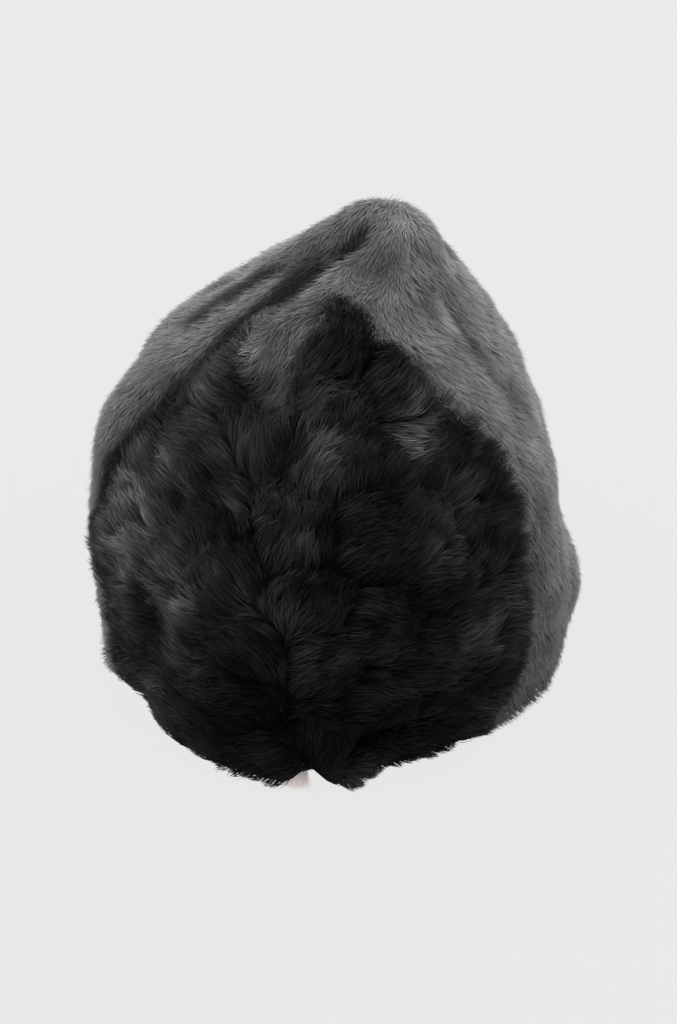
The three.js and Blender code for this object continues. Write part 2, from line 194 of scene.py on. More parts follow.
# Tufts and hollows of the fur, by degrees round the hat and shares of the height. The hair turns round them
# by the swirl and away from them by the burst, and it is painted lighter or darker there by the shade:
# painted light on the tufts and painted shade in the hollows.
MOUNDS = (
    # turn, rise, radius and height in millimetres, swirl, burst, painted light or shade
    # the dark wedge below the tip of the fold, a painted shadow under the fold
    (-21, 0.967, 9, -2.0, 0.0, 0.0, -0.95),
    (-11, 0.949, 10, -4.0, 0.0, 0.0, -0.95),
    (0, 0.928, 10, -3.0, 0.0, 0.0, -0.90),
    (11, 0.902, 10, -2.0, 0.0, 0.0, -0.85),
    (-9, 0.915, 13, -1.0, 0.0, 0.0, -0.70),
    # hollows in the middle of the front, painted darker as painted shade
    (-16, 0.711, 9, -3.0, 0.7, 0.5, -0.6),
    (4, 0.740, 8, -3.5, 0.0, 0.0, -0.6),
    (9, 0.681, 9, -2.5, 0.0, 0.0, -0.45),
    (13, 0.611, 9, -2.0, 0.0, 0.0, -0.4),
    (4, 0.616, 12, -1.0, 0.3, 0.0, -0.35),
    (6, 0.488, 13, -1.0, 0.0, 0.0, -0.35),
    (22, 0.411, 19, -4.0, 0.0, -0.3, -0.5),
    # hollows on the left of the front, painted darker as painted shade
    (-30, 0.758, 12, -3.0, 0.4, 0.0, -0.5),
    (-30, 0.554, 8, -2.0, 0.0, 0.0, -0.4),
    (-39, 0.255, 11, -3.0, 0.0, 0.0, -0.6),
    (-34, 0.195, 9, -2.0, 0.0, 0.0, -0.5),
    # the dark foot of the front
    (-15, 0.220, 18, -1.5, 0.3, 0.0, -0.35),
    (14, 0.178, 18, 0.0, -0.3, 0.0, -0.55),
    (-11, 0.108, 24, 0.0, 0.0, 0.0, -0.60),
    (32, 0.120, 20, 0.0, 0.0, 0.0, -0.45),
    # tufts along the left edge of the front, painted lighter as painted light
    (-43, 0.878, 9, 1.5, 0.0, 0.2, 1.0),
    (-44, 0.772, 9, 2.0, 0.0, 0.2, 1.2),
    (-49, 0.640, 9, 2.0, 0.0, 0.2, 1.2),
    (-57, 0.525, 10, 1.5, 0.0, 0.0, 1.4),
    (-47, 0.490, 9, 2.0, 0.0, 0.2, 1.2),
    (-54, 0.395, 10, 1.5, 0.0, 0.0, 1.3),
    (-41, 0.405, 11, 2.5, 0.0, 0.3, 1.2),
    (-52, 0.335, 9, 1.5, 0.0, 0.0, 1.0),
    (-31, 0.371, 9, 1.5, 0.3, 0.2, 1.0),
    (-29, 0.239, 8, 2.5, -0.5, 0.3, 0.8),
    (-48, 0.450, 35, 0.0, 0.0, 0.0, 0.5),
    # tufts in the middle and on the right, painted lighter as painted light
    (-8, 0.691, 9, 3.0, -0.4, 0.2, 1.3),
    (-9, 0.735, 9, 2.0, -0.3, 0.2, 0.9),
    (13, 0.828, 8, 2.0, 0.0, 0.2, 0.4),
    (17, 0.785, 12, 3.0, 0.0, 0.3, 0.9),
    (14, 0.733, 12, 2.5, 0.0, 0.2, 1.0),
    (-23, 0.615, 12, 2.5, 0.9, 0.0, 0.45),
    (-6, 0.559, 8, 1.0, 0.4, 0.0, 0.4),
    (26, 0.491, 10, 2.5, -0.3, 0.3, 0.5),
    (38, 0.291, 14, 1.0, 0.0, 0.0, 0.5),
    (-15, 0.416, 12, 1.0, 0.4, 0.0, 0.4),
    (-4, 0.373, 10, 1.5, -0.3, 0.0, 0.4),
    # blotches on the crown
    (-84, 0.920, 8, -2.0, 0.0, 0.0, -0.8),
    (-74, 0.982, 8, -2.0, 0.0, 0.0, -0.7),
    (-100, 0.850, 7, -1.5, 0.0, 0.0, -0.6),
    (-48, 1.035, 6, -1.0, 0.0, 0.0, -0.4),
    (55, 0.851, 8, -1.5, 0.0, 0.0, -0.4),
    (63, 0.722, 8, -1.0, 0.0, 0.0, -0.3),
    (30, 0.966, 6, -1.0, 0.0, 0.0, -0.4),
    (7, 1.016, 7, -1.0, 0.0, 0.0, -0.2),
    # the broad form: the rim's front, the sides, the right foot and the tip
    (-30, 0.030, 24, 5.0, 0.0, 0.0, 0.0),
    (-47, 0.030, 16, -4.5, 0.0, 0.0, 0.0),
    (18, 0.030, 18, -5.0, 0.0, 0.0, 0.0),
    (-78, 0.500, 32, 3.5, 0.0, 0.0, 0.0),
    (98, 0.120, 24, 9.0, 0.0, 0.0, 0.0),
    (86, 0.480, 45, 3.0, 0.0, 0.0, 0.0),
    (72, 0.040, 18, 3.0, 0.0, 0.0, 0.0),
    (-100, 0.940, 16, 2.5, 0.0, 0.0, 0.0),
    (-106, 0.820, 10, -3.0, 0.0, 0.0, 0.0),
    (-88, 0.640, 15, -3.5, 0.0, 0.0, 0.0),
    (-112, 1.010, 14, 1.5, 0.0, 0.0, 0.0),
    (-150, 1.030, 13, 5.0, 0.0, 0.0, 0.0),
    (-129, 0.975, 9, 4.0, 0.0, 0.0, 0.0),
    (-125, 0.887, 12, -2.5, 0.0, 0.0, 0.0),
)
# All the painted light and shade and the blotches together make the hair no darker and no lighter than
# these shares of its own tone.
SHADES = (0.05, 3.2)
# The draw of the lumps, waves and spots in the fur.
NOISE_SEED = 2
# How much the painted light of the tufts breaks up into small spots, and their size.
RAGGED = 1.3
RAGGED_SIZE = 6 * MM
# Soft blotches over the crown: how much lighter or darker, and their size.
BLOTCHES = 0.15
BLOTCH_SIZE = 15 * MM
# Painted sheen: the crown's coat is painted greyest where it faces towards the front and top, and blacker
# by this share where it faces the other way.
SHEEN_WAY = (0.0, -0.8, 0.6)
SHEEN_FADE = 0.55
SHEEN_FADE_EDGE = (0.0, -0.75)
# The gap in the fur at the foot of the front seam, and the hair kept off the floor.
NOTCH_HALF = 12.5 * MM
NOTCH_ASIDE = 5 * MM
NOTCH_HEIGHT = 15 * MM
FLOOR_CLEAR = 0.6 * MM
# The pale wisp in the notch: its root's width as a share of its own, and how it spreads, leans and falls.
WISP_ROOT = 0.5
WISP_SPREAD = 0.40
WISP_ASIDE = 0.30
WISP_FALL = 0.9
# Its hair's length as a share of its depth from front to back.
WISP_LENGTH = 1.25

# Near the rim, between two shares of the height, the tufts draw together more by this share.
RIM_CLUMP = 0.9
RIM_RISE = (0.02, 0.10)

# One hair is a narrow blade with these stations along it, which ends in a point.
LONG_BLADE = (0.0, 0.38, 0.72)
SHORT_BLADE = (0.0, 0.55)
# It narrows by this share towards its tip, and its pull into a tuft grows along it by this power.
BLADE_TAPER = 0.55
PULL_POWER = 1.6
# How far tufts and locks stray from the lie of the hair, how many are tried in a square of their spacing,
# and how their length and stand vary.
TUFT_STRAY = 0.28
LOCK_STRAY = 0.35
GUIDE_CROWD = 2.0
GUIDE_LENGTH = (0.85, 1.2)
GUIDE_STAND = (0.6, 1.5)
# How one hair's length, stand, curl and half width vary, and how strongly tufts and locks draw it in.
HAIR_LENGTH = (0.7, 1.15)
HAIR_STAND = (0.5, 1.3)
HAIR_CURL = (-0.25, 0.25)
HAIR_HALF = (0.35, 0.6)
TUFT_DRAW = (0.5, 1.25)
LOCK_DRAW = (0.6, 1.3)
# What is left on the crown of the lobe's tufts, locks and twist.
CROWN_TUFTS = 0.25
CROWN_LOCKS = 0.2
CROWN_TWIST = 0.5
# How far a blade may turn about its length.
TWIST = math.radians(50)
# Hair has this many tones, between two shares on the crown and on the lobe. The crown's tones are painted
# far lighter, a painted sheen for the light caught by its short pile. A hair's tone is drawn in shares from
# its own chance, its tuft's and a patch of this size, which is twice as strong on the lobe.
TONES = 32
TONE_SHARES = (0.25, 0.25, 0.5)
PATCH_SIZE = 14 * MM
PATCH_STRENGTH = 1.1
CROWN_SHEEN_TONES = (0.5, 1.0)
LOBE_TONES = (0.01, 0.56)
# A hair's root is painted this light beside its tip, a painted shade deep in the fur, and light hair is
# duller than dark by this much.
SHADED_ROOT = 0.45
DULLER = 0.25
# How far across its own tone a blade spreads on the chart that holds the tones.
CHART_HALF = 0.4
# How much of the light on a hair follows the form below it and not the hair's own turn.
CROWN_SOFTNESS = 0.85
LOBE_SOFTNESS = 0.3
# What the sheet tells each hair, and what is kept on a hair only while it grows.
COMBED = ("flow", "reach", "stand", "lobe", "soft", "shade", "clump")
GROWING = {*COMBED, "root", "run", "lift", "pull", "edge", "across", "facing"}

TREE_INPUTS = (
    ("Geometry", "NodeSocketGeometry"),
    ("Blade", "NodeSocketObject"),
    ("Band", "NodeSocketInt"),
    ("Density", "NodeSocketFloat"),
    ("Width", "NodeSocketFloat"),
    ("Tuft Size", "NodeSocketFloat"),
    ("Lock Size", "NodeSocketFloat"),
    ("Tuft Pull", "NodeSocketFloat"),
    ("Lock Pull", "NodeSocketFloat"),
    ("Stray", "NodeSocketFloat"),
    ("Twist", "NodeSocketFloat"),
    ("Seed", "NodeSocketInt"),
    ("Material", "NodeSocketMaterial"),
)


class Wire:
    """An output socket that takes Python's operators, each of which adds a Math or Vector Math node."""

    def __init__(self, graph, socket):
        self.graph = graph
        self.socket = socket

    @property
    def is_vector(self):
        return self.socket.type in {"VECTOR", "RGBA"}

    def __add__(self, other):
        return self.graph.combine("ADD", self, other)

    def __radd__(self, other):
        return self.graph.combine("ADD", other, self)

    def __sub__(self, other):
        return self.graph.combine("SUBTRACT", self, other)

    def __rsub__(self, other):
        return self.graph.combine("SUBTRACT", other, self)

    def __mul__(self, other):
        return self.graph.combine("MULTIPLY", self, other)

    def __rmul__(self, other):
        return self.graph.combine("MULTIPLY", other, self)

    def __truediv__(self, other):
        return self.graph.combine("DIVIDE", self, other)

    def __rtruediv__(self, other):
        return self.graph.combine("DIVIDE", other, self)

    def __pow__(self, other):
        return self.graph.combine("POWER", self, other)


class Made:
    """A node that was added, whose outputs are taken by name."""

    def __init__(self, graph, node):
        self.graph = graph
        self.node = node

    def __getitem__(self, name):
        return Wire(self.graph, open_socket(self.node.outputs, name))


def open_socket(sockets, name):
    """The socket of that name or number that the node's settings leave in use."""
    if isinstance(name, int):
        return sockets[name]
    return next(s for s in sockets if s.name == name and s.enabled and not s.is_unavailable)


class Graph:
    """A node tree that is written as Python expressions."""

    def __init__(self, tree):
        self.tree = tree

    def node(self, kind, settings=None, inputs=None):
        """Adds a node, makes its settings, then gives its sockets values or links."""
        made = self.tree.nodes.new(kind)
        for name, value in (settings or {}).items():
            setattr(made, name, value)
        for name, value in (inputs or {}).items():
            socket = open_socket(made.inputs, name)
            if isinstance(value, Wire):
                self.tree.links.new(value.socket, socket)
            else:
                socket.default_value = value
        return Made(self, made)

    def combine(self, operation, a, b):
        """One sum of two numbers or vectors, of which at least one is a wire."""
        a_vector = isinstance(a, (tuple, Vector)) or isinstance(a, Wire) and a.is_vector
        b_vector = isinstance(b, (tuple, Vector)) or isinstance(b, Wire) and b.is_vector
        if not a_vector and not b_vector:
            return self.node("ShaderNodeMath", {"operation": operation}, {0: a, 1: b})["Value"]
        if a_vector and b_vector:
            return self.vector(operation, a, b)
        if operation != "MULTIPLY":
            raise TypeError(f"{operation} of a vector and a number")
        vector, number = (a, b) if a_vector else (b, a)
        scaled = self.node(
            "ShaderNodeVectorMath", {"operation": "SCALE"}, {0: vector, "Scale": number}
        )
        return scaled["Vector"]

    def maths(self, operation, *values):
        """A Math node's function of one, two or three numbers."""
        made = self.node("ShaderNodeMath", {"operation": operation}, dict(enumerate(values)))
        return made["Value"]

    def vector(self, operation, *values):
        """A Vector Math node's function that gives a vector."""
        made = self.node("ShaderNodeVectorMath", {"operation": operation}, dict(enumerate(values)))
        return made["Vector"]

    def mix(self, factor, a, b):
        """A colour between two colours."""
        made = self.node(
            "ShaderNodeMix", {"data_type": "RGBA"}, {"Factor": factor, "A": a, "B": b}
        )
        return made["Result"]

    def stored(self, name, kind="FLOAT"):
        """A named attribute of the geometry that is being worked on."""
        made = self.node("GeometryNodeInputNamedAttribute", {"data_type": kind}, {"Name": name})
        return made["Attribute"]

    def store(self, geometry, name, value, kind="FLOAT", domain="POINT"):
        """The geometry with a named attribute added."""
        made = self.node(
            "GeometryNodeStoreNamedAttribute",
            {"data_type": kind, "domain": domain},
            {"Geometry": geometry, "Name": name, "Value": value},
        )
        return made["Geometry"]

    def chance(self, low, high, seed, kind="FLOAT"):
        """A random number or vector for each element."""
        made = self.node(
            "FunctionNodeRandomValue", {"data_type": kind}, {"Min": low, "Max": high, "Seed": seed}
        )
        return made["Value"]

    def noise(self, coordinates, size, detail=3.0, roughness=0.55):
        """A noise whose features are about this size in metres, from 0 to 1."""
        made = self.node(
            "ShaderNodeTexNoise",
            None,
            {"Vector": coordinates, "Scale": 1 / size, "Detail": detail, "Roughness": roughness},
        )
        return made["Fac"]


def piece(name, mesh, replaced=()):
    """A finished piece of the hat that rides on its body."""
    made = bpy.data.objects.new(name, mesh)
    bpy.context.scene.collection.objects.link(made)
    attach(made, BODY)
    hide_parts(*replaced)
    return made


def scratch(name, mesh):
    """An object that is only worked on, and goes again with drop()."""
    made = bpy.data.objects.new(name, mesh)
    bpy.context.scene.collection.objects.link(made)
    return made


def drop(made):
    """Takes a scratch object and its mesh away."""
    mesh = made.data
    bpy.data.objects.remove(made)
    bpy.data.meshes.remove(mesh)


def evaluated_mesh(made):
    """What an object's modifiers make of it, as a plain mesh."""
    graph = bpy.context.evaluated_depsgraph_get()
    return bpy.data.meshes.new_from_object(
        made.evaluated_get(graph), preserve_all_data_layers=True, depsgraph=graph
    )


def columns(rows):
    """The columns of a short table."""
    return np.array(rows, float).T


def coordinates_of(mesh, what="co"):
    """The places or normals of a mesh's vertices, a row each."""
    values = np.empty(len(mesh.vertices) * 3, np.float32)
    mesh.vertices.foreach_get(what, values)
    return values.reshape(-1, 3).astype(float)


def unit(vectors):
    """Rows of vectors at a length of one."""
    return vectors / np.maximum(np.linalg.norm(vectors, axis=1, keepdims=True), 1e-9)


def add_attribute(mesh, name, kind, values, domain="POINT"):
    """Keeps a number or vector for each element of a mesh."""
    field = "vector" if kind == "FLOAT_VECTOR" else "value"
    mesh.attributes.new(name, kind, domain).data.foreach_set(field, np.ravel(values))


def welded_skin(side):
    """One skin panel's solid from the model, its loose triangles joined into quads."""
    form = bmesh.new()
    form.from_mesh(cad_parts[f"{side}_panel_hide"].data)
    bmesh.ops.remove_doubles(form, verts=form.verts, dist=WELD)
    bmesh.ops.join_triangles(
        form,
        faces=form.faces,
        angle_face_threshold=JOIN_ANGLE,
        angle_shape_threshold=JOIN_ANGLE,
    )
    return form


def looks_out(face):
    """Whether a face of the skin is on the fur side."""
    middle = face.calc_center_median()
    axis = PEAK * (middle.z / PEAK.z) - Vector((0, 0, LOOK_BACK * middle.z / PEAK.z))
    return face.normal.dot((middle - axis).normalized()) > FACES_OUT


def smoothed(mesh):
    """A mesh with its facets rounded off, as a new mesh."""
    made = scratch("rounding", mesh)
    rounding = made.modifiers.new("rounding", "SUBSURF")
    rounding.levels = SMOOTH_LEVELS
    rounding.render_levels = SMOOTH_LEVELS
    result = evaluated_mesh(made)
    drop(made)
    return result


def joined_sheet():
    """The fur side of both skin panels as one smooth sheet. A face's material number tells its half."""
    whole = bmesh.new()
    for half, side in enumerate(SIDES):
        form = welded_skin(side)
        inner = [face for face in form.faces if not looks_out(face)]
        bmesh.ops.delete(form, geom=inner, context="FACES")
        for face in form.faces:
            face.material_index = half
        mesh = bpy.data.meshes.new(f"{side}_sheet")
        form.to_mesh(mesh)
        form.free()
        whole.from_mesh(mesh)
        bpy.data.meshes.remove(mesh)
    seam = [vertex for vertex in whole.verts if vertex.is_boundary]
    bmesh.ops.remove_doubles(whole, verts=seam, dist=SEAM_WELD)
    mesh = bpy.data.meshes.new("sheet")
    whole.to_mesh(mesh)
    whole.free()
    return smoothed(mesh)


def turn_and_rise(points):
    """Where points lie round the hat, from the front seam, and their share of the height."""
    rise = points[:, 2] / PEAK.z
    flat = points - np.outer(rise, PEAK)
    return np.degrees(np.arctan2(flat[:, 0], -flat[:, 1])), rise


def lumps(points, size, offset=0.0):
    """A smooth noise at each point, as a vector from about -1 to 1."""
    noise.seed_set(NOISE_SEED)
    shift = Vector((offset, offset, offset))
    return np.array([noise.noise_vector(Vector(p) / size + shift) for p in points])


def spot(points, turn, rise):
    """The point that lies nearest to a place."""
    turns, rises = turn_and_rise(points)
    apart = np.radians(turns - turn) * ROUND_RADIUS
    return points[np.hypot(apart, (rises - rise) * PEAK.z).argmin()]


def nearness(points, line, width):
    """How near points lie to a line through places: 1 on it, and less with each width away."""
    stops = [spot(points, *place) for place in line]
    apart = np.full(len(points), np.inf)
    for start, end in zip(stops, stops[1:]):
        way = end - start
        along = np.clip((points - start) @ way / (way @ way), 0, 1)
        apart = np.minimum(apart, np.linalg.norm(points - start - np.outer(along, way), axis=1))
    return np.exp(-((apart / width) ** 2))


def evened(mesh, values):
    """Vectors at a mesh's vertices, each drawn towards its neighbours' a number of times."""
    edges = np.empty(len(mesh.edges) * 2, np.int32)
    mesh.edges.foreach_get("vertices", edges)
    starts, ends = edges.reshape(-1, 2).T
    counts = np.bincount(edges, minlength=len(values))[:, None]
    for _ in range(EVEN_ROUNDS):
        total = np.zeros_like(values)
        np.add.at(total, starts, values[ends])
        np.add.at(total, ends, values[starts])
        values = (values + total / counts) / 2
    return values


def raise_sheet(mesh, depth, relief):
    """Lifts a sheet off the skin by a depth, in lumps, tufts and hollows, and keeps it off the floor."""
    points = coordinates_of(mesh)
    normals = unit(evened(mesh, coordinates_of(mesh, "normal")))
    lobe = lobe_share(points)[0]
    height = np.full(len(points), depth)
    for index, (size, on_lobe, on_crown) in enumerate(LUMPS):
        share = on_lobe * lobe + on_crown * (1 - lobe)
        height += relief * share * lumps(points, size, 7.0 * index)[:, 0]
    for *place, radius, high, _, _, _ in MOUNDS:
        way = (points - spot(points, *place)) / (radius * MM)
        height += high * MM * np.exp(-np.sum(way * way, axis=1))
    for width, deep, _, line in CREASES:
        height -= deep * MM * nearness(points, line, width * MM)
    points = points + normals * np.maximum(height, LEAST_DEPTH)[:, None]
    points[:, 2] = np.maximum(points[:, 2], lowest(points))
    mesh.vertices.foreach_set("co", np.ravel(points).astype(np.float32))
    mesh.update()


def lowest(points):
    """How low the fur may reach: to the floor, and at the foot of the front seam to the notch's top."""
    low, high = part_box("seam_wisp")
    beside = np.abs(points[:, 0] - (low.x + high.x) / 2 - NOTCH_ASIDE) / NOTCH_HALF
    notch = np.where(points[:, 1] < 0, NOTCH_HEIGHT * (1 - beside), 0)
    return np.maximum(notch, FLOOR_CLEAR)


def smooth_step(values, low, high):
    """From 0 at one value to 1 at another, without a corner."""
    share = np.clip((values - low) / (high - low), 0, 1)
    return share * share * (3 - 2 * share)


def lobe_share(points):
    """How much each point belongs to the front lobe, from 0 to 1, and its degrees from the parting."""
    turn, rise = turn_and_rise(points)
    at, left, parting, right = columns(LOBE)
    inside = np.minimum(turn - np.interp(rise, at, left), np.interp(rise, at, right) - turn)
    share = smooth_step(inside, -LOBE_SOFT / 2, LOBE_SOFT / 2)
    off = turn - np.interp(rise, at, parting)
    at, left, right = columns(TONGUE)
    from_left = (turn - np.interp(rise, at, left)) / TONGUE_SOFT[0]
    from_right = (np.interp(rise, at, right) - turn) / TONGUE_SOFT[1]
    tongue = smooth_step(np.minimum(from_left, from_right), -0.5, 0.5)
    return share * (1 - tongue), off


def lie_of_hair(points, normals):
    """How the hair lies at each point, how much longer and higher it is than set, how soft it looks, and
    its painted light and shade.
    """
    turn, rise = turn_and_rise(points)
    lobe, off = lobe_share(points)
    at, parting, edge, crown = columns(LIE)
    near = np.exp(-((off / LIE_SPREAD) ** 2))
    on_lobe = np.radians(np.interp(rise, at, parting) * near + np.interp(rise, at, edge) * (1 - near))
    wander = PARTING_WANDER * lumps(points, WAVES[0][0], 2.0)[:, 0]
    aside = np.tanh((off + wander) / PARTING_SOFT)
    on_crown = np.radians(np.interp(rise, at, crown) * np.sin(np.radians(turn)))
    down = unit(np.array([0, 0, -1.0]) + normals * normals[:, 2:3])
    around = np.cross(normals, down)
    lobe_way = down * np.cos(on_lobe)[:, None] + around * (np.sin(on_lobe) * aside)[:, None]
    crown_way = down * np.cos(on_crown)[:, None] + around * np.sin(on_crown)[:, None]
    steep = smooth_step(np.hypot(normals[:, 0], normals[:, 1]), 0, TIP_SLOPE)[:, None]
    crown_way = crown_way * steep + np.array(TIP_WAY) * (1 - steep)
    flow = lobe_way * lobe[:, None] + crown_way * (1 - lobe)[:, None]
    for index, (size, wave_lobe, wave_crown) in enumerate(WAVES):
        strength = wave_lobe * lobe + wave_crown * (1 - lobe)
        flow = flow + strength[:, None] * lumps(points, size, 3.0 + index)
    shade = 1 + BLOTCHES * (1 - lobe) * lumps(points, BLOTCH_SIZE, 9.0)[:, 0]
    ragged = np.clip(1 + RAGGED * lumps(points, RAGGED_SIZE, 5.0)[:, 0], 0, 2)
    # Painted shade in the creases and hollows, and painted light on the tufts.
    for width, _, darker, line in CREASES:
        shade += darker * smooth_step(nearness(points, line, width * MM), *CREASE_EDGE)
    for *place, radius, _, swirl, burst, lighter in MOUNDS:
        way = (points - spot(points, *place)) / (radius * MM)
        fade = np.exp(-np.sum(way * way, axis=1))
        flow = flow + fade[:, None] * (swirl * np.cross(normals, way) + burst * way)
        shade += lighter * fade * (ragged if lighter > 0 else 1)
    # Painted sheen: on the crown, the coat that faces away from the front and top is painted blacker.
    shade *= 1 - SHEEN_FADE * smooth_step(normals @ np.array(SHEEN_WAY), *SHEEN_FADE_EDGE) * (1 - lobe)
    flow = unit(flow - normals * np.sum(flow * normals, axis=1, keepdims=True))
    at, *coat = columns(COAT)
    long, high, crown_long, crown_high = [np.interp(rise, at, column) for column in coat]
    soft = LOBE_SOFTNESS * lobe + CROWN_SOFTNESS * (1 - lobe)
    long = long * lobe + crown_long * (1 - lobe)
    high = high * lobe + crown_high * (1 - lobe)
    clump = 1 + RIM_CLUMP * (1 - smooth_step(rise, *RIM_RISE))
    return dict(zip(COMBED, (flow, long, high, lobe, soft, np.clip(shade, *SHADES), clump)))


def splay_at_rim(points, normals, flow, length):
    """Turns the hair near the rim outwards, so that it meets the floor at its tips."""
    steepest = -np.maximum(points[:, 2] - FLOOR_CLEAR, 0) / length
    drop_to = np.maximum(flow[:, 2], steepest)
    level = flow * [1, 1, 0]
    short = np.sqrt(np.maximum(1 - drop_to**2, 0)) - np.linalg.norm(level, axis=1)
    out = unit(normals * [1, 1, 0])
    level = level + out * np.maximum(short, 0)[:, None]
    return unit(level + np.outer(drop_to, [0, 0, 1]))


def comb(mesh, length, stand):
    """Stores on a sheet how the hair lies, how long it is and how far it stands off."""
    points = coordinates_of(mesh)
    normals = coordinates_of(mesh, "normal")
    lie = lie_of_hair(points, normals)
    lie["reach"] *= length
    lie["stand"] *= stand
    lie["flow"] = splay_at_rim(points, normals, lie["flow"], lie["reach"])
    for name, values in lie.items():
        add_attribute(mesh, name, "FLOAT_VECTOR" if name == "flow" else "FLOAT", values)


def split_in_bands(mesh):
    """Numbers a sheet's faces: in each half the front lobe, then bands of like area to the back."""
    middles = np.array([face.center for face in mesh.polygons])
    areas = np.array([face.area for face in mesh.polygons])
    halves = np.array([face.material_index for face in mesh.polygons])
    turn, _ = turn_and_rise(middles)
    on_lobe = lobe_share(middles)[0] > 0.5
    order = np.argsort(np.abs(turn))
    last = len(BANDS) - 1
    bands = np.zeros(len(areas), np.int32)
    for half in range(len(SIDES)):
        rest = np.where(on_lobe | (halves != half), 0.0, areas)
        share = np.empty(len(areas))
        share[order] = np.cumsum(rest[order]) / rest.sum()
        band = np.where(on_lobe, 0, np.minimum(1 + (share * last).astype(np.int32), last))
        bands = np.where(halves == half, half * len(BANDS) + band, bands)
    add_attribute(mesh, "band", "INT", bands.astype(np.int32), "FACE")
    return [areas[bands == band].sum() for band in range(len(SIDES) * len(BANDS))]


def blade_mesh(stations):
    """One hair as a narrow blade, with its share along and across kept at each vertex."""
    along = [at for at in stations for _ in range(2)] + [1.0]
    across = [-1.0, 1.0] * len(stations) + [0.0]
    faces = [(i, i + 1, i + 3, i + 2) for i in range(0, len(along) - 3, 2)]
    faces.append((len(along) - 3, len(along) - 2, len(along) - 1))
    mesh = bpy.data.meshes.new("blade")
    mesh.from_pydata([(x, y, 0) for x, y in zip(across, along)], [], faces)
    mesh.shade_smooth()
    add_attribute(mesh, "along", "FLOAT", np.array(along, np.float32))
    add_attribute(mesh, "across", "FLOAT", np.array(across, np.float32))
    return mesh


def guide_points(g, given, size, seed, stray):
    """Points spread over the sheet, a tuft or lock for each, that hold the place of its tip."""
    spread = g.node(
        "GeometryNodeDistributePointsOnFaces",
        {"distribute_method": "POISSON"},
        {
            "Mesh": given["Geometry"],
            "Distance Min": size,
            "Density Max": GUIDE_CROWD / (size * size),
            "Seed": given["Seed"] + seed,
        },
    )
    bent = (-stray, -stray, -stray), (stray, stray, stray)
    flow = g.stored("flow", "FLOAT_VECTOR") + g.chance(*bent, seed, "FLOAT_VECTOR")
    reach = g.stored("reach") * g.chance(*GUIDE_LENGTH, seed + 1)
    high = g.stored("stand") * g.chance(*GUIDE_STAND, seed + 2)
    place = g.node("GeometryNodeInputPosition")["Position"]
    tip = place + g.vector("NORMALIZE", flow) * reach + spread["Normal"] * high
    return g.store(spread["Points"], "tip", tip, "FLOAT_VECTOR")


def nearest_guide(g, guides, kind, value):
    """A value of the tuft or lock that lies nearest."""
    index = g.node("GeometryNodeSampleNearest", None, {"Geometry": guides})["Index"]
    taken = g.node(
        "GeometryNodeSampleIndex",
        {"data_type": kind},
        {"Geometry": guides, "Value": value, "Index": index},
    )
    return taken["Value"]


